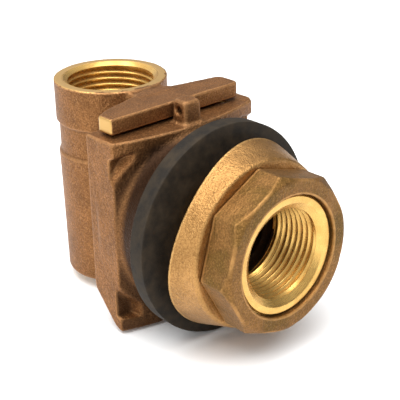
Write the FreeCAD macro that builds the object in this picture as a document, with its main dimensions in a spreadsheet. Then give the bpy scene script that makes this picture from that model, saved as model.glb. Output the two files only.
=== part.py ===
import FreeCAD, Part
import os
import re
import Sketcher

# Drop-in pitless adapter for a water-well casing, in millimetres.
# The origin is the centre of the outlet thread's mouth. -Y points out of the outlet, +Z up the well.
# The fixed half clamps through the casing wall; the lift-out half slides up out of its dovetail.

DIMENSIONS = {
    # threads: every pipe thread is 1 inch NPT, cut as a plain tap-drill bore
    "thread_bore": 14.7,
    "thread_depth": 20.0,
    "mouth_sink": 1.0,
    "mouth_sink_radius": 16.6,
    # nozzle of the fixed half, threaded outside for the lock nut
    "nozzle_radius": 20.0,
    "nozzle_chamfer": 0.6,
    "nozzle_bore": 13.0,
    # channel plate of the fixed half; its front is a cylinder that follows the casing's inside
    "plate_half_width": 30.15,
    "plate_top": 32.0,
    "plate_drop": 34.8,
    "plate_front_middle": 40.0,
    "plate_front_edge": 45.4,
    "plate_back": 58.8,
    "bevel_rise": 12.05,
    "bevel_depth": 10.8,
    "lip_width": 1.4,
    "lip_height": 3.8,
    "lip_front": 46.8,
    "lip_back": 57.6,
    # round gasket boss and the sunk corners round it
    "boss_radius": 29.8,
    "boss_front": 31.5,
    "pad_radius": 35.0,
    "corner_floor": 47.3,
    "corner_band_top": 27.6,
    "corner_band_bottom": 30.6,
    # dovetail channel, wider at its top than at its bottom
    "channel_floor": 50.3,
    "channel_bottom": 22.0,
    "channel_top_half": 23.0,
    "channel_bottom_half": 20.5,
    "dovetail_undercut": 4.5,
    "flank_clearance": 0.25,
    "face_clearance": 0.3,
    # lug in front of the bar, with a cross hole for a locking pin
    "lug_middle": 0.0,
    "lug_width": 7.2,
    "lug_front": 41.0,
    "lug_back": 47.7,
    "lug_top": 40.0,
    "lug_hole_radius": 1.2,
    "lug_hole_level": 36.4,
    "lug_hole_back": 44.7,
    "lug_round": 1.2,
    # lift-out half: vertical tube
    "tube_axis": 84.6,
    "tube_top": 38.8,
    "tube_drop": 32.5,
    "collar_radius": 19.6,
    "collar_drop": 13.9,
    "waist_radius": 18.6,
    "waist_drop": 25.2,
    "barrel_top_radius": 19.3,
    "barrel_foot_radius": 18.4,
    "tube_step": 1.0,
    "tube_bore": 13.3,
    # lift-out half: bar, neck and wedge
    "bar_half": 27.3,
    "bar_front": 48.8,
    "bar_left_back": 55.3,
    "bar_right_back": 58.4,
    "bar_bevel": 5.4,
    "bar_bevel_back": 58.2,
    "bar_middle_back": 62.2,
    "bar_bottom": 33.0,
    "bar_top": 38.3,
    "bar_round": 2.0,
    "web_half": 7.0,
    "web_drop": 20.0,
    "duct_radius": 15.2,
    "wedge_back": 60.0,
    "relief_back": 53.6,
    "relief_bottom": 31.3,
    "port_radius": 11.0,
    # port O-ring
    "ring_groove_radius": 16.0,
    "ring_groove_half": 1.8,
    "ring_groove_depth": 2.6,
    "ring_section": 1.4,
    # casing gasket
    "gasket_radius": 35.75,
    "gasket_bore": 20.4,
    "gasket_thickness": 5.9,
    # compression ring with its saddle, turned on the nozzle
    "clamp_front": 9.5,
    "clamp_front_radius": 28.0,
    "clamp_back": 22.8,
    "clamp_back_radius": 31.75,
    "clamp_bore": 20.6,
    "saddle_middle": 17.1,
    "saddle_radius": 88.0,
    "clamp_turn": 51.6,
    # octagonal lock nut
    "nut_front": 2.4,
    "nut_corner": 27.05,
    "nut_bore": 20.3,
    "nut_face_radius": 24.7,
    "nut_chamfer": 2.2,
    "nut_turn": 5.9,
}
OVERSHOOT = 3.0

document = FreeCAD.newDocument("pitless_adapter")
sheet = document.addObject("Spreadsheet::Sheet", "dims")
for row, (alias, value) in enumerate(DIMENSIONS.items(), start=1):
    sheet.set(f"A{row}", alias)
    sheet.set(f"B{row}", str(value))
    sheet.setAlias(f"B{row}", alias)
document.recompute()


def bound(expression):
    """Writes a dimension's name as a cell of the sheet, wherever it stands in the expression."""
    return re.sub(r"[a-z]\w*", lambda word: f"dims.{word[0]}" if word[0] in DIMENSIONS else word[0], expression)


def value_of(expression):
    return float(sheet.evalExpression(bound(expression)))


def new_body(name):
    body = document.addObject("PartDesign::Body", name)
    body.Label = name
    return body


def new_sketch(body, name, plane, level="0", shift="0"):
    """Opens a sketch on one of the body's origin planes, moved along its normal and its own x axis."""
    sketch = body.newObject("Sketcher::SketchObject", name)
    origin_plane = next(item for item in body.Origin.OriginFeatures if item.Role == plane)
    sketch.AttachmentSupport = [(origin_plane, "")]
    sketch.MapMode = "FlatFace"
    sketch.setExpression("AttachmentOffset.Base.z", bound(level))
    sketch.setExpression("AttachmentOffset.Base.x", bound(shift))
    return sketch


def pin_point(sketch, geometry, point, x, y):
    """Fixes a sketch point by its distances from the origin, both bound to the sheet."""
    for axis, expression in (("X", x), ("Y", y)):
        label = f"{axis.lower()}_{geometry}_{point}"
        distance = Sketcher.Constraint(f"Distance{axis}", -1, 1, geometry, point, value_of(expression))
        index = sketch.addConstraint(distance)
        sketch.renameConstraint(index, label)
        sketch.setExpression(f"Constraints.{label}", bound(expression))


def fix_radius(sketch, geometry, radius):
    label = f"radius_{geometry}"
    index = sketch.addConstraint(Sketcher.Constraint("Radius", geometry, value_of(radius)))
    sketch.renameConstraint(index, label)
    sketch.setExpression(f"Constraints.{label}", bound(radius))


def draw_circle(sketch, radius, x="0", y="0"):
    centre = FreeCAD.Vector(value_of(x), value_of(y), 0)
    circle = Part.Circle(centre, FreeCAD.Vector(0, 0, 1), value_of(radius))
    geometry = sketch.addGeometry(circle, False)
    pin_point(sketch, geometry, 3, x, y)
    fix_radius(sketch, geometry, radius)


def draw_outline(sketch, corners, arcs=None):
    """Draws a closed outline. arcs maps a side's number to a point its arc passes near, and its radius."""
    arcs = arcs or {}
    points = [FreeCAD.Vector(value_of(x), value_of(y), 0) for x, y in corners]
    sides = []
    turned = {}
    for side, start in enumerate(points):
        end = points[(side + 1) % len(points)]
        if side in arcs:
            middle = FreeCAD.Vector(value_of(arcs[side][0]), value_of(arcs[side][1]), 0)
            curve = Part.Arc(start, middle, end)
            sides.append(sketch.addGeometry(curve, False))
            drawn_start = sketch.getPoint(sides[-1], 1)
            turned[side] = (drawn_start - start).Length > 1e-6
        else:
            sides.append(sketch.addGeometry(Part.LineSegment(start, end), False))
            turned[side] = False
    for side, geometry in enumerate(sides):
        following = (side + 1) % len(sides)
        end_point = 1 if turned[side] else 2
        start_point = 2 if turned[following] else 1
        sketch.addConstraint(
            Sketcher.Constraint("Coincident", geometry, end_point, sides[following], start_point)
        )
    for side, (x, y) in enumerate(corners):
        pin_point(sketch, sides[side], 2 if turned[side] else 1, x, y)
    for side, (_, _, radius) in arcs.items():
        fix_radius(sketch, sides[side], radius)


def pad(body, name, sketch, length, against_normal=False):
    feature = body.newObject("PartDesign::Pad", name)
    feature.Profile = sketch
    feature.Reversed = against_normal
    feature.setExpression("Length", bound(length))
    return feature


def pocket(body, name, sketch, length, against_normal=True, both_ways=False):
    """Cuts the sketch along its normal, or the other way; PartDesign's own default is the other way."""
    feature = body.newObject("PartDesign::Pocket", name)
    feature.Profile = sketch
    feature.Reversed = not against_normal
    feature.Midplane = both_ways
    feature.setExpression("Length", bound(length))
    return feature


def turn_about(body, kind, name, sketch, axis):
    """Revolves (or grooves) the sketch a full turn about its own horizontal or vertical axis."""
    feature = body.newObject(f"PartDesign::{kind}", name)
    feature.Profile = sketch
    feature.ReferenceAxis = (sketch, [axis])
    feature.Angle = 360.0
    return feature


def loft(body, kind, name, lower, upper):
    feature = body.newObject(f"PartDesign::{kind}", name)
    feature.Profile = lower
    feature.Sections = [upper]
    feature.Ruled = True
    return feature


def round_edges(body, name, wanted, radius):
    """Fillets the tip's edges whose centre of mass meets the test."""
    document.recompute()
    base = body.Tip
    names = [f"Edge{number}" for number, edge in enumerate(base.Shape.Edges, start=1) if wanted(edge)]
    feature = body.newObject("PartDesign::Fillet", name)
    feature.Base = (base, names)
    feature.setExpression("Radius", bound(radius))
    return feature


def is_upright(edge, x, y, low, high):
    """True for a straight vertical edge that stands at (x, y) between the two levels."""
    if not isinstance(edge.Curve, Part.Line) or abs(edge.tangentAt(edge.FirstParameter).z) < 0.999:
        return False
    middle = edge.CenterOfMass
    return abs(middle.x - x) < 0.1 and abs(middle.y - y) < 0.1 and low < middle.z < high


def draw_dovetail(sketch, half_width, gap, front, back):
    """Draws a trapezoid that is widest at its front, for the channel or for the wedge in it."""
    slope = "dovetail_undercut / ( plate_back - channel_floor )"
    narrowed = f"( {half_width} - {gap} - ( {back} - channel_floor ) * {slope} )"
    wide = f"( {half_width} - {gap} - ( {front} - channel_floor ) * {slope} )"
    draw_outline(
        sketch,
        [(f"-1 * {wide}", front), (wide, front), (narrowed, back), (f"-1 * {narrowed}", back)],
    )


def make_casing_body():
    body = new_body("casing_body")

    rise = "( plate_front_edge - plate_front_middle )"
    front_radius = f"( plate_half_width ^ 2 + {rise} ^ 2 ) / ( 2 * {rise} )"
    plan = new_sketch(body, "plate_plan", "XY_Plane", "-1 * plate_drop")
    draw_outline(
        plan,
        [
            ("-1 * plate_half_width", "plate_front_edge"),
            ("plate_half_width", "plate_front_edge"),
            ("plate_half_width", "plate_back"),
            ("-1 * plate_half_width", "plate_back"),
        ],
        arcs={0: ("0", "plate_front_middle", front_radius)},
    )
    pad(body, "plate", plan, "plate_drop + plate_top")

    bevel = new_sketch(body, "bevel_profile", "YZ_Plane")
    draw_outline(
        bevel,
        [
            ("plate_back", "bevel_rise - plate_drop"),
            ("plate_back - bevel_depth", "-1 * plate_drop"),
            ("plate_back + 1", "-1 * plate_drop - 1"),
            ("plate_back + 1", "bevel_rise - plate_drop"),
        ],
    )
    pocket(body, "bottom_bevel", bevel, "3 * plate_half_width", both_ways=True)

    lip = new_sketch(body, "lip_plan", "XY_Plane", "plate_top - lip_height")
    draw_outline(
        lip,
        [
            ("plate_half_width - 2", "lip_front"),
            ("plate_half_width + lip_width", "lip_front"),
            ("plate_half_width + lip_width", "lip_back"),
            ("plate_half_width - 2", "lip_back"),
        ],
    )
    pad(body, "top_lip", lip, "lip_height")

    corners = new_sketch(body, "sunk_corners", "XZ_Plane", "-1 * corner_floor")
    outside = "( plate_half_width + 1 )"
    for side in ("-1", "1"):
        for direction, band in (("1", "corner_band_top"), ("-1", "corner_band_bottom")):
            on_band = f"sqrt( pad_radius ^ 2 - {band} ^ 2 )"
            on_side = f"sqrt( pad_radius ^ 2 - {outside} ^ 2 )"
            between = "pad_radius * sqrt( 0.5 )"
            draw_outline(
                corners,
                [
                    (f"{side} * {on_band}", f"{direction} * {band}"),
                    (f"{side} * {outside}", f"{direction} * {on_side}"),
                    (f"{side} * {outside}", f"{direction} * {band}"),
                ],
                arcs={0: (f"{side} * {between}", f"{direction} * {between}", "pad_radius")},
            )
    pocket(body, "corner_pockets", corners, "corner_floor - plate_front_middle + 1", against_normal=False)

    boss = new_sketch(body, "boss_circle", "XZ_Plane", "-1 * plate_front_edge")
    draw_circle(boss, "boss_radius")
    pad(body, "gasket_boss", boss, "plate_front_edge - boss_front")

    nozzle = new_sketch(body, "nozzle_profile", "YZ_Plane")
    draw_outline(
        nozzle,
        [
            ("-1 * mouth_sink", "0"),
            ("-1 * mouth_sink", "nozzle_radius - nozzle_chamfer"),
            ("nozzle_chamfer - mouth_sink", "nozzle_radius"),
            ("plate_front_edge", "nozzle_radius"),
            ("plate_front_edge", "0"),
        ],
    )
    turn_about(body, "Revolution", "nozzle", nozzle, "H_Axis")

    lug = new_sketch(body, "lug_plan", "XY_Plane", "plate_top - 2")
    draw_outline(
        lug,
        [
            ("lug_middle - lug_width / 2", "lug_front"),
            ("lug_middle + lug_width / 2", "lug_front"),
            ("lug_middle + lug_width / 2", "lug_back"),
            ("lug_middle - lug_width / 2", "lug_back"),
        ],
    )
    pad(body, "lug", lug, "lug_top - plate_top + 2")

    flow = new_sketch(body, "bore_profile", "YZ_Plane")
    draw_outline(
        flow,
        [
            ("-1 * mouth_sink", "0"),
            ("-1 * mouth_sink", "mouth_sink_radius"),
            ("0", "thread_bore"),
            ("thread_depth", "thread_bore"),
            ("thread_depth + 2", "nozzle_bore"),
            ("plate_back + 1", "nozzle_bore"),
            ("plate_back + 1", "0"),
        ],
    )
    turn_about(body, "Groove", "outlet_bore", flow, "H_Axis")

    bottom = new_sketch(body, "channel_bottom_plan", "XY_Plane", "-1 * channel_bottom")
    draw_dovetail(bottom, "channel_bottom_half", "0", "channel_floor", "( plate_back + 1 )")
    top = new_sketch(body, "channel_top_plan", "XY_Plane", "plate_top")
    draw_dovetail(top, "channel_top_half", "0", "channel_floor", "( plate_back + 1 )")
    loft(body, "SubtractiveLoft", "channel", bottom, top)

    hole = new_sketch(body, "lug_hole_circle", "YZ_Plane", "lug_middle")
    draw_circle(hole, "lug_hole_radius", "lug_hole_back", "lug_hole_level")
    pocket(body, "lug_hole", hole, "lug_width + 4", both_ways=True)

    lug_x = value_of("lug_middle")
    lug_half = value_of("lug_width / 2")
    round_edges(
        body,
        "lug_rounding",
        lambda edge: is_upright(
            edge, lug_x - lug_half, value_of("lug_front"), value_of("plate_top"), value_of("lug_top")
        )
        or is_upright(
            edge, lug_x + lug_half, value_of("lug_front"), value_of("plate_top"), value_of("lug_top")
        )
        or abs(edge.CenterOfMass.z - value_of("lug_top")) < 0.01,
        "lug_round",
    )
    return body


def make_drop_body():
    body = new_body("drop_body")

    outer = new_sketch(body, "tube_profile", "YZ_Plane", shift="tube_axis")
    draw_outline(
        outer,
        [
            ("0", "tube_top"),
            ("collar_radius", "tube_top"),
            ("collar_radius", "tube_top - collar_drop"),
            ("waist_radius", "tube_top - collar_drop - tube_step"),
            ("waist_radius", "tube_top - waist_drop"),
            ("barrel_top_radius", "tube_top - waist_drop - tube_step"),
            ("barrel_foot_radius", "tube_step - tube_drop"),
            ("barrel_foot_radius - tube_step", "-1 * tube_drop"),
            ("0", "-1 * tube_drop"),
        ],
    )
    turn_about(body, "Revolution", "tube", outer, "V_Axis")

    bar = new_sketch(body, "bar_plan", "XY_Plane", "bar_bottom")
    draw_outline(
        bar,
        [
            ("-1 * bar_half", "bar_front"),
            ("bar_half", "bar_front"),
            ("bar_half", "bar_right_back"),
            ("web_half", "bar_middle_back"),
            ("-1 * web_half", "bar_middle_back"),
            ("bar_bevel - bar_half", "bar_bevel_back"),
            ("-1 * bar_half", "bar_left_back"),
        ],
    )
    pad(body, "bar", bar, "bar_top - bar_bottom")

    web = new_sketch(body, "web_plan", "XY_Plane", "-1 * web_drop")
    draw_outline(
        web,
        [
            ("-1 * web_half", "wedge_back - 1"),
            ("web_half", "wedge_back - 1"),
            ("web_half", "tube_axis - waist_radius + 3"),
            ("-1 * web_half", "tube_axis - waist_radius + 3"),
        ],
    )
    pad(body, "web", web, "web_drop + bar_top")

    duct = new_sketch(body, "duct_circle", "XZ_Plane", "-1 * tube_axis")
    draw_circle(duct, "duct_radius")
    pad(body, "duct", duct, "tube_axis - wedge_back + 1")

    face = "channel_floor + face_clearance"
    span = "( plate_top + channel_bottom )"
    at_top = (
        "( channel_bottom_half + ( channel_top_half - channel_bottom_half )"
        f" * ( bar_bottom + channel_bottom ) / {span} )"
    )
    bottom = new_sketch(body, "wedge_bottom_plan", "XY_Plane", "-1 * channel_bottom")
    draw_dovetail(bottom, "channel_bottom_half", "flank_clearance", face, "wedge_back")
    top = new_sketch(body, "wedge_top_plan", "XY_Plane", "bar_bottom")
    draw_dovetail(top, at_top, "flank_clearance", face, "wedge_back")
    loft(body, "AdditiveLoft", "wedge", bottom, top)

    relief = new_sketch(body, "relief_plan", "XY_Plane", "relief_bottom")
    draw_outline(
        relief,
        [
            ("-1 * bar_half", "bar_front"),
            ("bar_half", "bar_front"),
            ("bar_half", "relief_back"),
            ("-1 * bar_half", "relief_back"),
        ],
    )
    pocket(body, "bar_relief", relief, "bar_bottom - relief_bottom", against_normal=False)

    bore = new_sketch(body, "tube_bore_profile", "YZ_Plane", shift="tube_axis")
    draw_outline(
        bore,
        [
            ("0", "tube_top"),
            ("mouth_sink_radius", "tube_top"),
            ("thread_bore", "tube_top - mouth_sink"),
            ("thread_bore", "tube_top - thread_depth"),
            ("tube_bore", "tube_top - thread_depth - 1"),
            ("tube_bore", "thread_depth - tube_drop + 1"),
            ("thread_bore", "thread_depth - tube_drop"),
            ("thread_bore", "mouth_sink - tube_drop"),
            ("mouth_sink_radius", "-1 * tube_drop"),
            ("0", "-1 * tube_drop"),
        ],
    )
    turn_about(body, "Groove", "tube_bore", bore, "V_Axis")

    port = new_sketch(body, "port_circle", "XZ_Plane", "-1 * tube_axis")
    draw_circle(port, "port_radius")
    pocket(body, "port", port, "tube_axis", against_normal=False)

    groove = new_sketch(body, "ring_groove_profile", "YZ_Plane")
    draw_outline(
        groove,
        [
            ("channel_floor", "ring_groove_radius - ring_groove_half"),
            (f"{face} + ring_groove_depth", "ring_groove_radius - ring_groove_half"),
            (f"{face} + ring_groove_depth", "ring_groove_radius + ring_groove_half"),
            ("channel_floor", "ring_groove_radius + ring_groove_half"),
        ],
    )
    turn_about(body, "Groove", "ring_groove", groove, "H_Axis")

    end_x = value_of("bar_half")
    low = value_of("bar_bottom")
    high = value_of("bar_top")
    round_edges(
        body,
        "bar_rounding",
        lambda edge: is_upright(edge, end_x, value_of("bar_front"), low, high)
        or is_upright(edge, end_x, value_of("bar_right_back"), low, high),
        "bar_round",
    )
    return body


def make_port_o_ring():
    ring = document.addObject("Part::Torus", "port_o_ring")
    ring.Label = "port_o_ring"
    ring.setExpression("Radius1", bound("ring_groove_radius"))
    ring.setExpression("Radius2", bound("ring_section"))
    ring.Placement.Rotation = FreeCAD.Rotation(FreeCAD.Vector(1, 0, 0), 90)
    bottom = "channel_floor + face_clearance + ring_groove_depth"
    ring.setExpression("Placement.Base.y", bound(f"{bottom} - ring_section - 0.02"))
    return ring


def make_casing_gasket():
    body = new_body("casing_gasket")
    section = new_sketch(body, "gasket_section", "XZ_Plane", "-1 * boss_front")
    draw_circle(section, "gasket_radius")
    draw_circle(section, "gasket_bore")
    pad(body, "gasket", section, "gasket_thickness")
    return body


def make_compression_ring():
    body = new_body("compression_ring")
    slope = "( clamp_back_radius - clamp_front_radius ) / ( clamp_back - clamp_front )"
    profile = new_sketch(body, "ring_profile", "YZ_Plane")
    beyond = f"( clamp_back + {OVERSHOOT} )"
    draw_outline(
        profile,
        [
            ("clamp_front", "clamp_bore"),
            ("clamp_front", "clamp_front_radius"),
            (beyond, f"clamp_back_radius + {OVERSHOOT} * {slope}"),
            (beyond, "clamp_bore"),
        ],
    )
    turn_about(body, "Revolution", "blank", profile, "H_Axis")
    casing = new_sketch(body, "casing_circle", "XY_Plane")
    draw_circle(casing, "saddle_radius", "0", "saddle_middle + saddle_radius")
    pocket(body, "saddle", casing, "3 * clamp_back_radius", both_ways=True)
    body.Placement.Rotation = FreeCAD.Rotation(FreeCAD.Vector(0, -1, 0), value_of("clamp_turn"))
    return body


def make_lock_nut():
    body = new_body("lock_nut")
    outline = new_sketch(body, "octagon", "XZ_Plane", "-1 * clamp_front")
    corners = [(f"nut_corner * cos( {45 * k} )", f"nut_corner * sin( {45 * k} )") for k in range(8)]
    draw_outline(outline, corners)
    draw_circle(outline, "nut_bore")
    pad(body, "blank", outline, "clamp_front + nut_front")
    chamfer = new_sketch(body, "chamfer_profile", "YZ_Plane")
    reach = "( nut_corner + 1 - nut_face_radius )"
    slope = "nut_chamfer / ( nut_corner - nut_face_radius )"
    draw_outline(
        chamfer,
        [
            ("-1 * nut_front - 1", "nut_face_radius"),
            ("-1 * nut_front", "nut_face_radius"),
            (f"{reach} * {slope} - nut_front", "nut_corner + 1"),
            ("-1 * nut_front - 1", "nut_corner + 1"),
        ],
    )
    turn_about(body, "Groove", "front_chamfer", chamfer, "H_Axis")
    body.Placement.Rotation = FreeCAD.Rotation(FreeCAD.Vector(0, -1, 0), value_of("nut_turn"))
    return body


pieces = [
    make_casing_body(),
    make_drop_body(),
    make_port_o_ring(),
    make_casing_gasket(),
    make_compression_ring(),
    make_lock_nut(),
]
document.recompute()

for item in document.Objects:
    if "Invalid" in item.State or "Error" in item.State:
        raise RuntimeError(f"{item.Name} did not build: {item.State}")

os.makedirs("parts", exist_ok=True)
for piece in pieces:
    if piece.Shape.isNull() or not piece.Shape.isValid():
        raise RuntimeError(f"{piece.Label} has no valid shape")
    piece.Shape.exportStep(f"parts/{piece.Label}.step")
    print(piece.Label, len(piece.Shape.Solids), "solid", round(piece.Shape.Volume), "mm3")
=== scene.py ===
import math

import bmesh
import bpy
import numpy as np
import openvdb
from mathutils import Matrix, Vector


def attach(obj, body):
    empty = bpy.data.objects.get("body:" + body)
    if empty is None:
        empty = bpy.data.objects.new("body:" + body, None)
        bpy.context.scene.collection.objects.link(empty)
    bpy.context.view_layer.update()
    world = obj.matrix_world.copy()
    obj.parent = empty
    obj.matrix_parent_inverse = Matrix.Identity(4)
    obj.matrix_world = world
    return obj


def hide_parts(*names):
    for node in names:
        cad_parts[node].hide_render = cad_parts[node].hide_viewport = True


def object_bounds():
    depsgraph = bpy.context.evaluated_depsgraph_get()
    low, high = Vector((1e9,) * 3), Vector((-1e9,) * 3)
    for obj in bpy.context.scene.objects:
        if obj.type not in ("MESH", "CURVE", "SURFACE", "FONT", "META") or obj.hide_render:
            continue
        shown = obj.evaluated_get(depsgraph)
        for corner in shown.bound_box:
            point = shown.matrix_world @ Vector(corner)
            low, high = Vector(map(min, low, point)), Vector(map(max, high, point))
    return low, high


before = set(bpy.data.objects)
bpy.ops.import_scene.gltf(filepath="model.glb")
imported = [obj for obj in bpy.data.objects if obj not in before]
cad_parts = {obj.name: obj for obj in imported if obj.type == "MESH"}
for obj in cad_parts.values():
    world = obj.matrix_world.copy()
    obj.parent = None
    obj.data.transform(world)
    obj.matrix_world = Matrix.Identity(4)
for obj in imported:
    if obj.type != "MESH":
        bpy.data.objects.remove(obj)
cad_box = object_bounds()

MM = 0.001

# ---------------------------------------------------------------------------------------------
# Sizes in millimetres, in the frame of the CAD model: -Y out of the outlet, +Z up the well.

THREAD_PITCH = 25.4 / 11.5
THREAD_TAPER = 1 / 32
INSIDE_CREST = 14.9
INSIDE_ROOT = 16.35
THREAD_DEPTH = 20.0
SINK_RADIUS = 17.0
SINK_DEPTH = 1.6
TUBE_SINK_RADIUS = 16.3
TUBE_SINK_DEPTH = 1.2

NOZZLE_CREST = 20.0
NOZZLE_ROOT = 18.6
NOZZLE_FACE = -1.0
NOZZLE_CHAMFER = 0.6
NOZZLE_THREAD_END = 26.0
NOZZLE_BORE = 13.0

PLATE_HALF = 30.15
PLATE_TOP = 32.0
PLATE_BOTTOM = -34.8
PLATE_FRONT = 40.0
PLATE_FRONT_RADIUS = 86.87
PLATE_BACK = 58.8
BEVEL_RISE = 12.05
BEVEL_DEPTH = 10.8
BOSS_RADIUS = 29.8
BOSS_FRONT = 31.5
PAD_RADIUS = 35.0
CORNER_FLOOR = 47.3
CORNER_TOP = 27.6
CORNER_BOTTOM = -30.6
CORNER_INNER = 23.2
CORNER_DRAFT_FROM = 44.0
LIP_END = 31.55
LIP_ROOT = 26.0
LIP_FRONT = 46.4
LIP_BACK = 57.4
LIP_THICK = 3.9

CHANNEL_FLOOR = 50.3
CHANNEL_BOTTOM = -22.0
CHANNEL_HALF_BOTTOM = 20.5
CHANNEL_HALF_TOP = 23.0
UNDERCUT = 4.5 / 8.5
WEDGE_FACE = 50.6
WEDGE_BACK = 60.0
RELIEF_BACK = 53.6
RELIEF_BOTTOM = 31.3
FLANK_GAP = 0.25

LUG_MIDDLE = (0.0, 44.35)
LUG_HALF = (3.6, 3.35)
LUG_TOP = 40.0
LUG_HOLE = (44.7, 36.4)
LUG_HOLE_RADIUS = 1.2

TUBE_AXIS = 84.6
TUBE_TOP = 38.8
TUBE_BOTTOM = -32.5
TUBE_BORE = 13.3
COLLAR_RADIUS = 19.6
COLLAR_FOOT = 24.9
WAIST_RADIUS = 18.6
WAIST_FOOT = 13.6
BARREL_TOP_RADIUS = 19.3
BARREL_FOOT_RADIUS = 18.4
BAR_HALF = 27.3
BAR_FRONT = 48.8
BAR_BOTTOM = 33.0
BAR_TOP = 38.3
BAR_BACK = 62.2
BAR_LEFT_SLANT = (4.0, 14.8)
BAR_RIGHT_SLANT = (3.8, 20.2)
BAR_END_SLANT = (2.9, 5.4)
BAR_END_FROM = (21.8, 58.2)
WEB_HALF = 7.0
WEB_BOTTOM = -20.0
DUCT_RADIUS = 15.2
PORT_RADIUS = 11.0
SEAL_RADIUS = 16.0
SEAL_SECTION = 1.4
SEAL_HALF = 1.8
SEAL_FLOOR = 53.2

GASKET_RADIUS = 35.75
GASKET_BORE = 20.4
GASKET_FRONT = 25.6
GASKET_BACK = 31.5

CLAMP_FRONT = 9.5
CLAMP_FRONT_RADIUS = 28.0
CLAMP_SLOPE = 3.75 / 13.3
CLAMP_BORE = 20.6
SADDLE_MIDDLE = 17.1
SADDLE_RADIUS = 88.0
CLAMP_TURN = math.radians(51.6)
CLAMP_REACH = (32.6, 24.0)

NUT_FRONT = -2.4
NUT_BACK = 9.5
NUT_CORNER = 27.05
NUT_FACE_RADIUS = 24.7
NUT_CHAMFER = 2.2
NUT_TURN = math.radians(5.9)
NUT_CREST = 18.85
NUT_ROOT = 20.05
NUT_THREAD_START = NUT_FRONT + 3.2
NUT_THREAD_END = NUT_BACK - 0.2

CAMERA_AZIMUTH = math.radians(-41.09)
CAMERA_ELEVATION = math.radians(24.11)
CAMERA_ROLL = math.radians(-1.345)
CAMERA_DISTANCE = 383.6
CAMERA_TARGET = (10.25, 50.7, -1.0)
CAMERA_LENS = 100.06
SENSOR = 36.0

# The tent of white light: the direction of its bright side, its two levels, and the span over
# which one fades to the other, as the cosine of the angle from that direction.
TENT_BRIGHT_SIDE = (-0.6, 0.2, 0.78)
TENT_BRIGHT = 1.3
TENT_DIM = 0.12
TENT_FADE = (-0.45, 0.9)

# The area lights: name, place in metres, disc size in metres, power in watts.
LIGHTS = (
    ("top", (-0.25, 0.0, 0.97), 1.2, 13.0),
    ("front", (0.1, -0.62, 0.78), 0.4, 3.0),
)
LIGHT_TARGET = (0.0, 0.045, 0.0)
FLOOR_REACH = 3.0

# The mesh cell of each cast piece, in millimetres, and the depth at which its edges and hollows
# are felt for.
CASTING_CELL = 0.42
CLAMP_CELL = 0.38
NUT_CELL = 0.36
EDGE_PROBE = 0.7


# ---------------------------------------------------------------------------------------------
# Distance fields: negative inside, in millimetres. Solids are joined and cut with small rounds,
# the way a sand casting leaves them.


def smooth_max(a, b, size):
    """Intersects two fields; the edge between them gets a round of about this size."""
    near = np.maximum(size - np.abs(a - b), 0.0) / size
    return np.maximum(a, b) + near * near * size * 0.25


def smooth_min(a, b, size):
    return -smooth_max(-a, -b, size)


def inside_all(size, *fields):
    result = fields[0]
    for field in fields[1:]:
        result = smooth_max(result, field, size)
    return result


def cut(solid, tool, size):
    return smooth_max(solid, -tool, size)


def ring_distance(a, b, radius):
    return np.sqrt(a * a + b * b) - radius


def half_width(z):
    """Half-width of the dovetail channel at its floor; it widens towards the top."""
    share = (z - CHANNEL_BOTTOM) / (PLATE_TOP - CHANNEL_BOTTOM)
    return CHANNEL_HALF_BOTTOM + share * (CHANNEL_HALF_TOP - CHANNEL_HALF_BOTTOM)


def dovetail_flank(x, y, z, gap):
    slanted = np.abs(x) - half_width(z) + gap + UNDERCUT * (y - CHANNEL_FLOOR)
    return slanted / math.hypot(1.0, UNDERCUT)


def channel_field(x, y, z):
    return inside_all(0.3, dovetail_flank(x, y, z, 0.0), CHANNEL_FLOOR - y, CHANNEL_BOTTOM - z)


def lug_field(x, y, z):
    taper = 0.04 * (z - PLATE_TOP)
    across = np.abs(x - LUG_MIDDLE[0]) - LUG_HALF[0] + taper
    deep = np.abs(y - LUG_MIDDLE[1]) - LUG_HALF[1] + 0.5 * taper
    block = inside_all(1.3, across, deep, z - LUG_TOP, PLATE_TOP - 6 - z)
    hole = ring_distance(y - LUG_HOLE[0], z - LUG_HOLE[1], LUG_HOLE_RADIUS)
    flare = hole - np.maximum(0.0, LUG_MIDDLE[0] - LUG_HALF[0] + 1.0 - x) * 0.5
    return cut(block, flare, 0.5)


def plate_field(x, y, z):
    curve = ring_distance(x, y - PLATE_FRONT - PLATE_FRONT_RADIUS, PLATE_FRONT_RADIUS)
    length = math.hypot(BEVEL_RISE, BEVEL_DEPTH)
    bevel = (y - PLATE_BACK) * BEVEL_RISE - (z - PLATE_BOTTOM - BEVEL_RISE) * BEVEL_DEPTH
    bottom = smooth_max(bevel / length, PLATE_BOTTOM - z, 2.4)
    plate = inside_all(0.7, np.abs(x) - PLATE_HALF, y - PLATE_BACK, z - PLATE_TOP, curve, bottom)
    lip_plan = inside_all(2.6, x - LIP_END, y - LIP_BACK, LIP_FRONT - y, LIP_ROOT - x)
    lip = inside_all(0.7, lip_plan, z - PLATE_TOP, PLATE_TOP - LIP_THICK - z)
    return smooth_min(plate, lip, 0.8)


def sunk_corner_field(x, y, z):
    """The cast-in hollows outside the round pad, at the plate's four corners."""
    deeper = y - CORNER_DRAFT_FROM
    wall = PAD_RADIUS - 0.3 + 0.35 * deeper - np.sqrt(x * x + z * z)
    inner = CORNER_INNER + 0.4 * deeper - np.abs(x)
    top = inside_all(1.5, z - CORNER_TOP + 0.5 * deeper, -z)
    bottom = inside_all(0.9, CORNER_BOTTOM - z + 0.25 * deeper, z)
    ends = np.minimum(top, bottom)
    return inside_all(1.2, wall, y - CORNER_FLOOR, inside_all(1.0, inner, ends))


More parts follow.
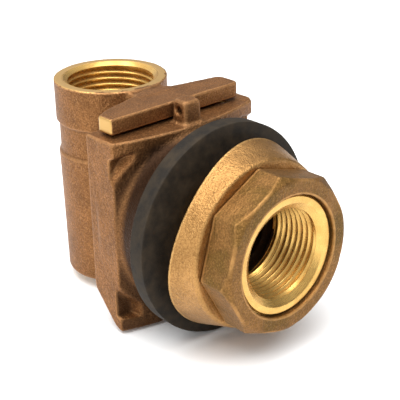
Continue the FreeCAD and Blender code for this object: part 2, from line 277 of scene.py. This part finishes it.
def fixed_casting_field(x, y, z):
    plate = cut(plate_field(x, y, z), sunk_corner_field(x, y, z), 0.7)
    boss = inside_all(0.8, ring_distance(x, z, BOSS_RADIUS), BOSS_FRONT - y, y - PLATE_BACK + 6)
    solid = smooth_min(plate, boss, 3.4)
    solid = smooth_min(solid, lug_field(x, y, z), 1.8)
    solid = cut(solid, channel_field(x, y, z), 0.4)
    return cut(solid, ring_distance(x, z, NOZZLE_BORE), 0.4)


def tube_field(x, y, z):
    """The vertical tube's outside: collar, waist and a barrel that tapers to its foot."""
    around = np.sqrt(x * x + (y - TUBE_AXIS) ** 2)
    share = (z - TUBE_BOTTOM) / (WAIST_FOOT - TUBE_BOTTOM)
    barrel_radius = BARREL_FOOT_RADIUS + share * (BARREL_TOP_RADIUS - BARREL_FOOT_RADIUS)
    collar = inside_all(0.7, around - COLLAR_RADIUS, COLLAR_FOOT - 0.6 - z)
    barrel = inside_all(0.7, around - barrel_radius, z - WAIST_FOOT + 0.4)
    tube = smooth_min(smooth_min(around - WAIST_RADIUS, collar, 1.0), barrel, 1.0)
    tube = smooth_max(tube, TUBE_BOTTOM - z, 1.6)
    return smooth_max(tube, z - TUBE_TOP, 0.25)


def bar_field(x, y, z):
    """The bar across the top: straight in front, its back slanting forward to both ends."""
    left = (y - BAR_BACK) - (x + WEB_HALF) * BAR_LEFT_SLANT[0] / BAR_LEFT_SLANT[1]
    left_end = (y - BAR_END_FROM[1]) - (x + BAR_END_FROM[0]) * BAR_END_SLANT[0] / BAR_END_SLANT[1]
    right = (y - BAR_BACK) + (x - WEB_HALF) * BAR_RIGHT_SLANT[0] / BAR_RIGHT_SLANT[1]
    plan = inside_all(1.2, left, right, BAR_FRONT - y)
    plan = inside_all(0.5, plan, left_end, -BAR_HALF - x)
    plan = inside_all(2.4, plan, x - BAR_HALF)
    return inside_all(0.7, plan, z - BAR_TOP, BAR_BOTTOM - z)


def lift_casting_field(x, y, z):
    """Wedge, bar, web, duct and tube in one casting, bored and cut for the port and its seal."""
    flank = dovetail_flank(x, y, z, FLANK_GAP)
    thick = (WEDGE_FACE - y, y - WEDGE_BACK)
    wedge = inside_all(0.5, flank, *thick, CHANNEL_BOTTOM - z, z - BAR_BOTTOM - 1)
    web = inside_all(
        1.0, np.abs(x) - WEB_HALF, WEDGE_BACK - 1 - y, y - TUBE_AXIS, WEB_BOTTOM - z, z - BAR_TOP + 0.15
    )
    duct = inside_all(0.8, ring_distance(x, z, DUCT_RADIUS), WEDGE_BACK - 1 - y, y - TUBE_AXIS)
    solid = smooth_min(wedge, bar_field(x, y, z), 0.8)
    relief = inside_all(0.3, y - RELIEF_BACK, RELIEF_BOTTOM - z, z - BAR_BOTTOM)
    solid = cut(solid, relief, 0.3)
    solid = smooth_min(solid, web, 1.2)
    solid = smooth_min(solid, duct, 2.5)
    solid = smooth_min(solid, tube_field(x, y, z), 1.6)
    solid = smooth_max(solid, z - TUBE_TOP, 0.25)
    around = np.sqrt(x * x + (y - TUBE_AXIS) ** 2)
    middle = (TUBE_TOP + TUBE_BOTTOM) / 2
    reach = (TUBE_TOP - TUBE_BOTTOM) / 2 - THREAD_DEPTH
    skin = np.where(np.abs(z - middle) > reach + THREAD_DEPTH - 0.6, TUBE_SINK_RADIUS, SINK_RADIUS)
    thread_room = smooth_max(around - skin, reach - np.abs(z - middle), 0.3)
    solid = cut(solid, np.minimum(around - TUBE_BORE, thread_room), 0.25)
    port = inside_all(0.3, ring_distance(x, z, PORT_RADIUS), y - TUBE_AXIS)
    solid = cut(solid, port, 0.5)
    groove = inside_all(0.2, np.abs(ring_distance(x, z, SEAL_RADIUS)) - SEAL_HALF, y - SEAL_FLOOR)
    return cut(solid, groove, 0.3)


def clamp_field(x, y, z):
    """The compression ring: a shallow cone whose back is hollowed to sit on the round casing."""
    around = np.sqrt(x * x + z * z)
    cone = around - CLAMP_FRONT_RADIUS - CLAMP_SLOPE * (y - CLAMP_FRONT)
    cone = cone / math.hypot(1.0, CLAMP_SLOPE)
    across = x * math.cos(CLAMP_TURN) + z * math.sin(CLAMP_TURN)
    casing = SADDLE_RADIUS - ring_distance(across, y - SADDLE_MIDDLE - SADDLE_RADIUS, 0.0)
    blank = inside_all(1.1, cone, CLAMP_FRONT - y)
    blank = inside_all(0.6, blank, casing)
    return cut(blank, around - CLAMP_BORE, 0.5)


def nut_field(x, y, z):
    around = np.sqrt(x * x + z * z)
    turned = np.arctan2(z, x) - NUT_TURN
    step = math.pi / 4
    from_flat = turned - step * np.floor(turned / step) - step / 2
    flat = NUT_CORNER * math.cos(step / 2)
    prism = around * np.cos(from_flat) - flat
    next_flat = around * np.cos(step - np.abs(from_flat)) - flat
    prism = smooth_max(prism, next_flat, 0.35)
    slope = NUT_CHAMFER / (NUT_CORNER - NUT_FACE_RADIUS)
    cone = (NUT_FRONT - y + slope * (around - NUT_FACE_RADIUS)) / math.hypot(1.0, slope)
    body = inside_all(1.3, prism, y - NUT_BACK)
    body = inside_all(0.5, body, NUT_FRONT - y)
    body = inside_all(0.4, body, cone)
    return cut(body, around - NUT_ROOT, 0.35)


# ---------------------------------------------------------------------------------------------
# Meshes


def lattice_noise(points, size, seed):
    """Smooth random values from -1 to 1 with features of about this size, in millimetres."""
    count = 32
    lattice = np.random.default_rng(seed).uniform(-1.0, 1.0, (count, count, count))
    scaled = points / size
    cell = np.floor(scaled).astype(int)
    share = scaled - cell
    share = share * share * (3 - 2 * share)
    total = np.zeros(len(points))
    for corner in np.ndindex(2, 2, 2):
        weight = np.prod(np.where(np.array(corner) == 1, share, 1 - share), axis=1)
        index = (cell + corner) % count
        total += weight * lattice[index[:, 0], index[:, 1], index[:, 2]]
    return total


def cast_relief(points, seed, depth=1.0):
    """How far a sand-cast surface would stand out or in, in millimetres."""
    slow = 0.07 * lattice_noise(points, 7.0, seed)
    middle = 0.045 * lattice_noise(points, 2.6, seed + 1)
    fine = 0.035 * lattice_noise(points, 1.1, seed + 2)
    return depth * (slow + middle + fine)


def evaluate(field, points):
    return field(points[:, 0], points[:, 1], points[:, 2])


def directions(field, points):
    """Unit vectors in which the field grows fastest."""
    step = 0.05
    slopes = []
    for axis in np.eye(3) * step:
        slopes.append(evaluate(field, points + axis) - evaluate(field, points - axis))
    slopes = np.stack(slopes, axis=1)
    return slopes / np.maximum(np.linalg.norm(slopes, axis=1, keepdims=True), 1e-9)


def add_piece(name, points, faces):
    """Makes an object of points in millimetres."""
    mesh = bpy.data.meshes.new(name)
    mesh.from_pydata((np.asarray(points) * MM).tolist(), [], np.asarray(faces).tolist())
    mesh.update()
    piece = bpy.data.objects.new(name, mesh)
    bpy.context.scene.collection.objects.link(piece)
    return piece


def add_values(piece, name, values):
    """Stores one number per vertex for the material to read."""
    attribute = piece.data.attributes.new(name, "FLOAT", "POINT")
    attribute.data.foreach_set("value", np.asarray(values, np.float32))


def cast_piece(name, field, low, high, cell, seed, depth=1.0, machined=None, shade_to_paint=None):
    """Meshes a distance field, then gives its cast faces their relief.

    machined takes points and directions and says from 0 to 1 how far a face is machined; the second such
    function says, the same way, how far painted shade darkens a face.
    """
    axes = [np.arange(start - 2 * cell, end + 2 * cell, cell) for start, end in zip(low, high)]
    x, y, z = np.meshgrid(*axes, indexing="ij", sparse=True)
    values = np.broadcast_to(field(x, y, z), [len(axis) for axis in axes])
    grid = openvdb.FloatGrid(background=3.0)
    grid.copyFromArray(np.clip(values / cell, -3.0, 3.0).astype(np.float32))
    points, quads = grid.convertToQuads()
    points = points.astype(float) * cell + [axis[0] for axis in axes]
    for _ in range(3):
        distance = np.clip(evaluate(field, points), -cell, cell)
        points = points - directions(field, points) * distance[:, None]
    facing = directions(field, points)
    worked = machined(points, facing) if machined else np.zeros(len(points))
    edge = 1 + evaluate(field, points - facing * EDGE_PROBE) / EDGE_PROBE
    # How deep a point sits in a hollow; the material darkens it there as painted shade.
    hollow_shade = 1 - evaluate(field, points + facing * EDGE_PROBE) / EDGE_PROBE
    # How far painted shade darkens each point.
    painted_shade = shade_to_paint(points, facing) if shade_to_paint else np.zeros(len(points))
    relief = cast_relief(points, seed, depth) * (1 - worked)
    points = points + facing * np.minimum(relief, 0.0)[:, None]  # dents only, to stay in size
    piece = add_piece(name, points, quads)
    add_values(piece, "machined", worked)
    add_values(piece, "edge", np.clip(edge, 0, 1))
    add_values(piece, "hollow_shade", np.clip(hollow_shade, 0, 1))
    add_values(piece, "painted_shade", painted_shade)
    piece.data.shade_smooth()
    return piece


# One turn of thread: the share of the pitch, and the height from 0 at the root to 1 at the crest.
THREAD_FORM = (
    (0.00, 1.0), (0.10, 1.0), (0.17, 0.9), (0.43, 0.1),
    (0.50, 0.0), (0.60, 0.0), (0.67, 0.1), (0.93, 0.9),
)


def thread_rows(start, end, crest, root, taper, turn, fade_start, fade_end):
    """Points of one turned section along a thread, as (place along the axis, radius) pairs.

    crest is the radius at the thread's tips and root at its bottoms. A fade, a length in
    millimetres, runs the grooves out. Points past an end all land on one point there, so the
    section never folds back on itself.
    """
    turns = int(math.ceil((end - start) / THREAD_PITCH)) + 2
    shares, heights = zip(*THREAD_FORM)
    rows = []
    for number in range(-1, turns):
        for share in shares:
            place = start + (number + share + turn) * THREAD_PITCH
            place = min(max(place, start), end)
            phase = ((place - start) / THREAD_PITCH - turn) % 1.0
            height = np.interp(phase, shares, heights, period=1.0)
            depth = 1.0
            if fade_start:
                depth = min(depth, (place - start) / fade_start)
            if fade_end:
                depth = min(depth, (end - place) / fade_end)
            groove = (1 - height) * depth
            radius = crest + (root - crest) * groove - taper * (place - start)
            rows.append((place, radius))
    return rows


def turned_piece(name, section, segments=144):
    """Turns a closed section about +X, the axis that place_along then moves.

    section(turn) gives the (place, radius) pairs at that part of a turn, as many at 0 as at 1.
    """
    columns = []
    for column in range(segments + 1):
        turn = column / segments
        angle = 2 * math.pi * turn
        place, radius = np.array(section(turn)).T
        columns.append(np.stack([place, radius * math.cos(angle), radius * math.sin(angle)], axis=1))
    count = len(columns[0])
    points = np.concatenate(columns)
    faces = []
    for column in range(segments):
        for row in range(count):
            a = column * count + row
            b = column * count + (row + 1) % count
            faces.append((a, b, b + count, a + count))
    piece = add_piece(name, points, faces)
    shape = bmesh.new()
    shape.from_mesh(piece.data)
    bmesh.ops.remove_doubles(shape, verts=shape.verts, dist=1e-7)
    bmesh.ops.recalc_face_normals(shape, faces=shape.faces)
    shape.to_mesh(piece.data)
    shape.free()
    piece.data.shade_smooth()
    piece.data.set_sharp_from_angle(angle=math.radians(32))
    return piece


def place_along(piece, origin, direction):
    """Moves a turned piece's axis from +X to this direction, and its zero to this point in mm."""
    turn = Vector((1, 0, 0)).rotation_difference(Vector(direction)).to_matrix().to_4x4()
    piece.data.transform(Matrix.Translation(Vector(origin) * MM) @ turn)
    piece.data.update()


# ---------------------------------------------------------------------------------------------
# Materials


class Surface:
    """A material's node tree, with short calls for the nodes that it needs."""

    def __init__(self, name):
        self.material = bpy.data.materials.new(name)
        self.material.use_nodes = True
        self.nodes = self.material.node_tree.nodes
        self.links = self.material.node_tree.links
        self.shader = self.nodes["Principled BSDF"]
        self.place = self.add("ShaderNodeTexCoord").outputs["Object"]

    def add(self, kind, **values):
        node = self.nodes.new(kind)
        for key, value in values.items():
            setattr(node, key, value)
        return node

    def feed(self, socket, value):
        if isinstance(value, bpy.types.NodeSocket):
            self.links.new(value, socket)
        else:
            socket.default_value = value

    def noise(self, scale, detail=2.0, roughness=0.5):
        node = self.add("ShaderNodeTexNoise")
        self.feed(node.inputs["Vector"], self.place)
        self.feed(node.inputs["Scale"], scale)
        self.feed(node.inputs["Detail"], detail)
        self.feed(node.inputs["Roughness"], roughness)
        return node.outputs["Fac"]

    def cells(self, scale):
        node = self.add("ShaderNodeTexVoronoi", feature="F1")
        self.feed(node.inputs["Vector"], self.place)
        self.feed(node.inputs["Scale"], scale)
        return node.outputs["Distance"]

    def value(self, name):
        return self.add("ShaderNodeAttribute", attribute_name=name).outputs["Fac"]

    def spread(self, value, low, high, new_low=0.0, new_high=1.0):
        """Maps low..high to new_low..new_high, and holds it there beyond."""
        node = self.add("ShaderNodeMapRange")
        for socket, number in zip(node.inputs[:5], (value, low, high, new_low, new_high)):
            self.feed(socket, number)
        return node.outputs[0]

    def maths(self, operation, a, b):
        node = self.add("ShaderNodeMath", operation=operation)
        self.feed(node.inputs[0], a)
        self.feed(node.inputs[1], b)
        return node.outputs[0]

    def mix(self, share, a, b):
        node = self.add("ShaderNodeMix", data_type="RGBA", blend_type="MIX")
        self.feed(node.inputs["Factor"], share)
        self.feed(node.inputs["A"], a)
        self.feed(node.inputs["B"], b)
        return node.outputs["Result"]

    def bump(self, height, distance, strength):
        node = self.add("ShaderNodeBump")
        self.feed(node.inputs["Height"], height)
        self.feed(node.inputs["Distance"], distance)
        self.feed(node.inputs["Strength"], strength)
        return node.outputs["Normal"]

    def set(self, **values):
        for key, value in values.items():
            self.feed(self.shader.inputs[key.replace("_", " ")], value)


def colour(red, green, blue):
    """A colour given as it looks on a screen, from 0 to 255, made linear for the shader."""
    def linear(part):
        part = part / 255
        return part / 12.92 if part <= 0.04045 else ((part + 0.055) / 1.055) ** 2.4

    return (linear(red), linear(green), linear(blue), 1.0)


def bronze(name, base, light, dark, grain, pores=0.0, rough=0.5, stain=None, wear=0.14):
    """Sand-cast bronze: mottled and grainy, with worn edges, hollows and machined faces.

    It is paler on its worn edges, darker in its hollows as painted shade, gold where machined, and near
    black where painted shade is laid on.
    """
    surface = Surface(name)
    blotch = surface.spread(surface.noise(140, 3.0), 0.35, 0.65, 0.0, 0.35)
    tone = surface.mix(blotch, base, dark)
    if stain:
        patch = surface.spread(surface.noise(75, 4.0, 0.6), 0.46, 0.62, 0.0, 0.75)
        tone = surface.mix(patch, tone, stain)
    grit = surface.noise(1800, 2.0, 0.6)
    tone = surface.mix(surface.spread(grit, 0.34, 0.52, 0.6 * grain, 0.0), tone, dark)
    tone = surface.mix(surface.spread(grit, 0.54, 0.72, 0.0, 0.45 * grain), tone, light)
    broken = surface.spread(surface.noise(500, 2.0), 0.3, 0.6, 0.5, 1.0)
    worn = surface.maths("MULTIPLY", surface.spread(surface.value("edge"), wear, 3 * wear), broken)
    tone = surface.mix(surface.maths("MULTIPLY", worn, 0.8), tone, light)
    # Painted shade in the hollows.
    shaded_hollow = surface.spread(surface.value("hollow_shade"), 0.08, 0.7, 0.0, 0.85)
    tone = surface.mix(shaded_hollow, tone, dark)
    lumps = surface.noise(480, 2.0)
    height = surface.maths("ADD", grit, lumps)
    if pores:
        pit = surface.spread(surface.cells(1150), 0.08, 0.26)
        chance = surface.spread(surface.noise(480, 1.0), 0.50, 0.58, 1.0, 0.0)
        pit = surface.maths("MAXIMUM", pit, chance)
        height = surface.maths("ADD", height, surface.maths("MULTIPLY", pit, pores))
        tone = surface.mix(surface.spread(pit, 0.0, 0.6, 0.6 * pores, 0.0), tone, dark)
    ragged = surface.spread(surface.noise(1300, 2.0), 0.3, 0.7, -0.18, 0.18)
    worked = surface.spread(surface.maths("ADD", surface.value("machined"), ragged), 0.42, 0.58)
    tone = surface.mix(worked, tone, GOLD)
    # Painted shade: darkens towards near black where the piece's painted-shade values ask for it.
    tone = surface.mix(surface.value("painted_shade"), tone, PAINTED_SHADE)
    surface.set(
        Base_Color=tone,
        Metallic=0.85,
        Roughness=surface.spread(worked, 0, 1, rough, 0.3),
        Normal=surface.bump(height, 0.0004, surface.spread(worked, 0, 1, 0.85 * grain, 0.04)),
    )
    return surface.material


def machined_gold(name, along):
    """Turned bronze: bright, with fine tool marks. along is the marks' scale on each axis."""
    surface = Surface(name)
    stretch = surface.add("ShaderNodeMapping", vector_type="POINT")
    surface.feed(stretch.inputs["Vector"], surface.place)
    surface.feed(stretch.inputs["Scale"], along)
    marks = surface.add("ShaderNodeTexNoise")
    surface.feed(marks.inputs["Vector"], stretch.outputs["Vector"])
    surface.feed(marks.inputs["Scale"], 1.0)
    surface.feed(marks.inputs["Detail"], 3.0)
    tarnish = surface.spread(surface.noise(160, 3.0), 0.40, 0.72, 0.0, 0.5)
    tone = surface.mix(tarnish, colour(216, 174, 98), colour(166, 118, 50))
    surface.set(
        Base_Color=tone,
        Metallic=0.85,
        Roughness=surface.spread(marks.outputs["Fac"], 0.3, 0.7, 0.22, 0.36),
        Normal=surface.bump(marks.outputs["Fac"], 0.00003, 0.5),
    )
    return surface.material


def rubber(name, base, dusty, shine):
    surface = Surface(name)
    bloom = surface.spread(surface.noise(230, 4.0, 0.6), 0.35, 0.75, 0.0, 0.7)
    scuff = surface.spread(surface.noise(1900, 2.0), 0.55, 0.75, 0.0, 0.35)
    tone = surface.mix(surface.maths("MAXIMUM", bloom, scuff), base, dusty)
    skin = surface.noise(1100, 3.0)
    surface.set(
        Base_Color=tone,
        Roughness=surface.spread(bloom, 0, 1, shine, shine + 0.15),
        Specular_IOR_Level=0.22,
        Normal=surface.bump(skin, 0.00012, 0.5),
    )
    return surface.material


# Near-black brown used as painted shade.
PAINTED_SHADE = colour(44, 26, 13)
GOLD = colour(222, 178, 106)
CAST = bronze(
    "cast_bronze", colour(142, 97, 56), colour(198, 148, 98), colour(72, 43, 20), 0.88
)
SANDY = bronze(
    "ring_bronze", colour(176, 131, 76), colour(210, 166, 104), colour(104, 70, 30), 0.75,
    pores=0.5, rough=0.4,
)
DULL = bronze(
    "nut_bronze", colour(137, 98, 52), colour(184, 138, 82), colour(72, 48, 18), 0.8,
    rough=0.52, stain=colour(100, 76, 30), wear=0.06,
)
TURNED = machined_gold("machined_bronze", (400.0, 9000.0, 400.0))
BORED = machined_gold("bored_bronze", (400.0, 400.0, 9000.0))
# Near-black bronze laid in the deep bores as painted shade.
BORE_SHADE = bronze(
    "bore_shade_bronze", colour(46, 30, 14), colour(64, 42, 20), colour(20, 12, 6), 0.5
)
BLACK_RUBBER = rubber("gasket_rubber", colour(26, 21, 15), colour(62, 51, 37), 0.7)
SEAL_RUBBER = rubber("seal_rubber", colour(22, 21, 20), colour(45, 43, 40), 0.35)


def finish_piece(piece, material, body, node):
    piece.data.materials.append(material)
    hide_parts(node)
    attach(piece, body)
    return piece


def darken_bore(piece, is_deep):
    """Gives the deep bore beyond the threads a near-black bronze, painted shade for the hole's dark inside.
    """
    piece.data.materials.append(BORE_SHADE)
    for face in piece.data.polygons:
        if is_deep(face.center):
            face.material_index = 1


# ---------------------------------------------------------------------------------------------
# Pieces


def make_fixed_casting():
    def machined(points, facing):
        in_channel = (np.abs(evaluate(channel_field, points)) < 0.08) & (facing[:, 1] > -0.5)
        return in_channel.astype(float)

    # Painted shade: darkens the front faces round the gasket, the pad's side and the low front of the
    # plate, where shadow falls.
    def shade_to_paint(points, facing):
        x, y, z = points.T
        radius = np.sqrt(x * x + z * z)
        on_boss = 0.95 * np.clip((35 - radius) / 2, 0, 1) * np.clip((44.5 - y) / 3, 0, 1)
        by_gasket = 0.8 * np.clip((41 - radius) / 9, 0, 1)
        low_down = 0.7 * np.clip((14 - z) / 14, 0, 1)
        in_front = np.clip(-1.6 * facing[:, 1] - 0.4, 0, 1)
        below_top = np.clip((PLATE_TOP + 1 - z) / 5, 0, 1)
        return np.maximum(on_boss, np.maximum(by_gasket, low_down) * in_front) * below_top

    low = (-31.0, BOSS_FRONT - 1, PLATE_BOTTOM - 1)
    high = (32.0, PLATE_BACK + 1, LUG_TOP + 1)
    piece = cast_piece(
        "fixed_casting", fixed_casting_field, low, high, CASTING_CELL, 11,
        machined=machined, shade_to_paint=shade_to_paint,
    )
    finish_piece(piece, CAST, "fixed_half", "casing_body")
    darken_bore(piece, lambda middle: middle.xz.length < (NOZZLE_BORE + 0.8) * MM)


def make_nozzle():
    """The turned end of the fixed casting, threaded inside for pipe and outside for the nut."""
    deep = BOSS_FRONT + 2
    shoulder = NOZZLE_CREST - NOZZLE_CHAMFER
    mouth = NOZZLE_FACE + SINK_DEPTH

    def section(turn):
        inside = thread_rows(
            mouth, THREAD_DEPTH, INSIDE_CREST, INSIDE_ROOT, THREAD_TAPER, turn,
            fade_start=1.3, fade_end=2 * THREAD_PITCH,
        )
        pairs = [(deep, NOZZLE_BORE), (THREAD_DEPTH + 2, NOZZLE_BORE)]
        pairs += inside[::-1]
        pairs += [(NOZZLE_FACE + 0.15, SINK_RADIUS - 0.06), (NOZZLE_FACE, SINK_RADIUS + 0.2)]
        pairs += [(NOZZLE_FACE, shoulder - 0.3), (NOZZLE_FACE + 0.25, shoulder)]
        outside = thread_rows(
            NOZZLE_FACE + 0.4, NOZZLE_THREAD_END, NOZZLE_CREST, NOZZLE_ROOT, 0.0, turn,
            fade_start=0.0, fade_end=THREAD_PITCH,
        )
        pairs += [(place, min(radius, shoulder + place - NOZZLE_FACE - 0.25)) for place, radius in outside]
        pairs += [(deep, NOZZLE_CREST)]
        return pairs

    piece = turned_piece("nozzle", section)
    place_along(piece, (0, 0, 0), (0, 1, 0))
    finish_piece(piece, TURNED, "fixed_half", "casing_body")
    darken_bore(piece, lambda middle: middle.y > (THREAD_DEPTH - 1) * MM and middle.xz.length < 15 * MM)


def make_lift_casting():
    def machined(points, facing):
        x, y, z = points.T
        around = np.sqrt(x * x + (y - TUBE_AXIS) ** 2)
        torn = around > COLLAR_RADIUS - 0.9 + 1.2 * lattice_noise(points, 1.5, 31)
        torn &= y < TUBE_AXIS - 0.6 * COLLAR_RADIUS
        rim = (z > TUBE_TOP - 0.12) & (facing[:, 2] > 0.6) & ~torn
        foot = (z < TUBE_BOTTOM + 0.12) & (facing[:, 2] < -0.6)
        bar_end = (x < -BAR_HALF + 0.15) & (facing[:, 0] < -0.7)
        flank = np.abs(dovetail_flank(x, y, z, FLANK_GAP)) < 0.06
        flank &= (z < RELIEF_BOTTOM) & (y < WEDGE_BACK - 0.3)
        face = (y < WEDGE_FACE + 0.1) & (z < RELIEF_BOTTOM - 0.3)
        bore = around < SINK_RADIUS + 0.1
        port = (np.sqrt(x * x + z * z) < PORT_RADIUS + 0.1) & (y < TUBE_AXIS)
        return (rim | foot | bar_end | flank | face | bore | port).astype(float)

    # Painted shade: dims the bright reflection on the bar's machined end.
    def shade_to_paint(points, facing):
        at_bar_end = (points[:, 0] < -BAR_HALF + 0.15) & (facing[:, 0] < -0.7)
        return 0.28 * at_bar_end

    low = (-BAR_HALF - 1, BAR_FRONT - 1, TUBE_BOTTOM - 1)
    high = (BAR_HALF + 1, TUBE_AXIS + COLLAR_RADIUS + 1, TUBE_TOP + 1)
    piece = cast_piece(
        "lift_casting", lift_casting_field, low, high, CASTING_CELL, 23,
        machined=machined, shade_to_paint=shade_to_paint,
    )
    finish_piece(piece, CAST, "lift_out_half", "drop_body")


def make_pipe_thread(name, mouth, direction):
    """A pipe thread set in the tube's end; it starts at the mouth and runs inward."""
    def section(turn):
        rows = thread_rows(
            TUBE_SINK_DEPTH, THREAD_DEPTH, INSIDE_CREST, INSIDE_ROOT, THREAD_TAPER, turn,
            fade_start=1.3, fade_end=2 * THREAD_PITCH,
        )
        pairs = [(0.3, SINK_RADIUS + 0.4), (0.06, TUBE_SINK_RADIUS + 0.1), (0.1, TUBE_SINK_RADIUS)]
        pairs += rows
        pairs += [(THREAD_DEPTH + 1, TUBE_BORE), (THREAD_DEPTH + 1, SINK_RADIUS + 0.4)]
        return pairs

    piece = turned_piece(name, section)
    place_along(piece, mouth, direction)
    finish_piece(piece, BORED, "lift_out_half", "drop_body")


def make_seal():
    """The O-ring in the wedge's face."""
    middle = SEAL_FLOOR - SEAL_SECTION - 0.02

    def section(turn):
        angles = [2 * math.pi * number / 24 for number in range(24)]
        places = [middle + 0.99 * SEAL_SECTION * math.cos(angle) for angle in angles]
        radii = [SEAL_RADIUS + SEAL_SECTION * math.sin(angle) for angle in angles]
        return list(zip(places, radii))

    piece = turned_piece("o_ring", section, 96)
    place_along(piece, (0, 0, 0), (0, 1, 0))
    finish_piece(piece, SEAL_RUBBER, "lift_out_half", "port_o_ring")


def make_gasket():
    """A moulded rubber washer with softened edges and a faint waviness in its faces."""
    soft = 0.3
    corner = [(soft * (1 - math.cos(a)), soft * (1 - math.sin(a))) for a in np.linspace(0, math.pi / 2, 5)]

    def section(turn):
        wave = 0.08 * math.sin(4 * math.pi * turn + 0.7) + 0.05 * math.sin(6 * math.pi * turn)
        front = GASKET_FRONT + 0.05 + 0.5 * abs(wave)
        back = GASKET_BACK - 0.05
        outer = GASKET_RADIUS - 0.05 + 0.3 * wave
        pairs = [(front + fall, outer - depth) for depth, fall in corner[::-1]]
        pairs += [(back - fall, outer - depth) for depth, fall in corner]
        pairs += [(back, radius) for radius in np.linspace(outer - 1.5, GASKET_BORE + 1.5, 4)]
        pairs += [(back - 0.3, GASKET_BORE), (front + 0.3, GASKET_BORE)]
        pairs += [(front, radius) for radius in np.linspace(GASKET_BORE + 0.5, outer - 1.5, 5)]
        return pairs

    piece = turned_piece("rubber_gasket", section, 192)
    place_along(piece, (0, 0, 0), (0, 1, 0))
    finish_piece(piece, BLACK_RUBBER, "gasket", "casing_gasket")


def make_clamp_ring():
    def machined(points, facing):
        around = np.sqrt(points[:, 0] ** 2 + points[:, 2] ** 2)
        return (around < CLAMP_BORE + 0.1).astype(float)

    reach, back = CLAMP_REACH
    low = (-reach, CLAMP_FRONT, -reach)
    high = (reach, back, reach)
    piece = cast_piece("saddle_ring", clamp_field, low, high, CLAMP_CELL, 37, 0.8, machined)
    finish_piece(piece, SANDY, "saddle_ring", "compression_ring")


def make_nut():
    """The cast octagon, and the thread turned inside it."""
    reach = 28
    low = (-reach, NUT_FRONT, -reach)
    high = (reach, NUT_BACK, reach)
    piece = cast_piece("octagon_nut", nut_field, low, high, NUT_CELL, 51)
    finish_piece(piece, DULL, "nut", "lock_nut")

    def section(turn):
        rows = thread_rows(
            NUT_THREAD_START, NUT_THREAD_END, NUT_CREST, NUT_ROOT, 0.0, turn,
            fade_start=1.0, fade_end=0.0,
        )
        outer = NUT_ROOT + 0.6
        return [(NUT_THREAD_START - 0.05, outer)] + rows + [(NUT_THREAD_END + 0.05, outer)]

    thread = turned_piece("nut_thread", section)
    place_along(thread, (0, 0, 0), (0, 1, 0))
    finish_piece(thread, TURNED, "nut", "lock_nut")


# ---------------------------------------------------------------------------------------------
# Studio


def aim(thing, place, target, roll=0.0):
    """Puts a camera or a light at a place, looking at a target."""
    back = (Vector(place) - Vector(target)).normalized()
    turn = back.to_track_quat("Z", "Y").to_matrix() @ Matrix.Rotation(roll, 3, "Z")
    thing.matrix_world = Matrix.Translation(Vector(place)) @ turn.to_4x4()


def make_camera():
    data = bpy.data.cameras.new("camera")
    data.lens = CAMERA_LENS
    data.sensor_width = SENSOR
    data.clip_start = 0.01
    camera = bpy.data.objects.new("camera", data)
    bpy.context.scene.collection.objects.link(camera)
    back = Vector((
        math.sin(CAMERA_AZIMUTH) * math.cos(CAMERA_ELEVATION),
        -math.cos(CAMERA_AZIMUTH) * math.cos(CAMERA_ELEVATION),
        math.sin(CAMERA_ELEVATION),
    ))
    target = Vector(CAMERA_TARGET) * MM
    aim(camera, target + back * CAMERA_DISTANCE * MM, target, CAMERA_ROLL)
    bpy.context.scene.camera = camera


def make_floor():
    low = cad_box[0][2]
    sides = ((-1, -1), (1, -1), (1, 1), (-1, 1))
    corners = [(across * FLOOR_REACH, along * FLOOR_REACH, low) for across, along in sides]
    floor = add_piece("floor", np.array(corners) / MM, [(0, 1, 2, 3)])
    surface = Surface("floor_white")
    grain = surface.noise(40, 2.0)
    tone = surface.mix(surface.spread(grain, 0.3, 0.7, 0.0, 0.3), (0.93, 0.93, 0.93, 1), (0.9, 0.9, 0.9, 1))
    surface.set(Base_Color=tone, Roughness=0.8, Specular_IOR_Level=0.1)
    floor.data.materials.append(surface.material)


def add_light(name, place, size, power):
    data = bpy.data.lights.new(name, "AREA")
    data.shape = "DISK"
    data.size = size
    data.energy = power
    light = bpy.data.objects.new(name, data)
    bpy.context.scene.collection.objects.link(light)
    aim(light, place, LIGHT_TARGET)


def make_lights():
    """A white tent, dim towards the front right, with a large soft light above and a small one
    in front."""
    world = bpy.data.worlds.new("studio")
    bpy.context.scene.world = world
    world.use_nodes = True
    nodes = world.node_tree.nodes
    links = world.node_tree.links
    direction = nodes.new("ShaderNodeTexCoord").outputs["Generated"]
    lean = nodes.new("ShaderNodeVectorMath")
    lean.operation = "DOT_PRODUCT"
    lean.inputs[1].default_value = TENT_BRIGHT_SIDE
    links.new(direction, lean.inputs[0])
    level = nodes.new("ShaderNodeMapRange")
    level.interpolation_type = "SMOOTHSTEP"
    for socket, number in zip(level.inputs[1:5], (*TENT_FADE, TENT_DIM, TENT_BRIGHT)):
        socket.default_value = number
    links.new(lean.outputs["Value"], level.inputs[0])
    background = nodes["Background"]
    background.inputs["Color"].default_value = (1, 1, 1, 1)
    links.new(level.outputs[0], background.inputs["Strength"])
    for light in LIGHTS:
        add_light(*light)
    bpy.context.scene.view_settings.view_transform = "Standard"


make_fixed_casting()
make_nozzle()
make_lift_casting()
make_pipe_thread("lift_thread", (0, TUBE_AXIS, TUBE_TOP), (0, 0, -1))
make_pipe_thread("drop_thread", (0, TUBE_AXIS, TUBE_BOTTOM), (0, 0, 1))
make_seal()
make_gasket()
make_clamp_ring()
make_nut()
make_camera()
make_floor()
make_lights()
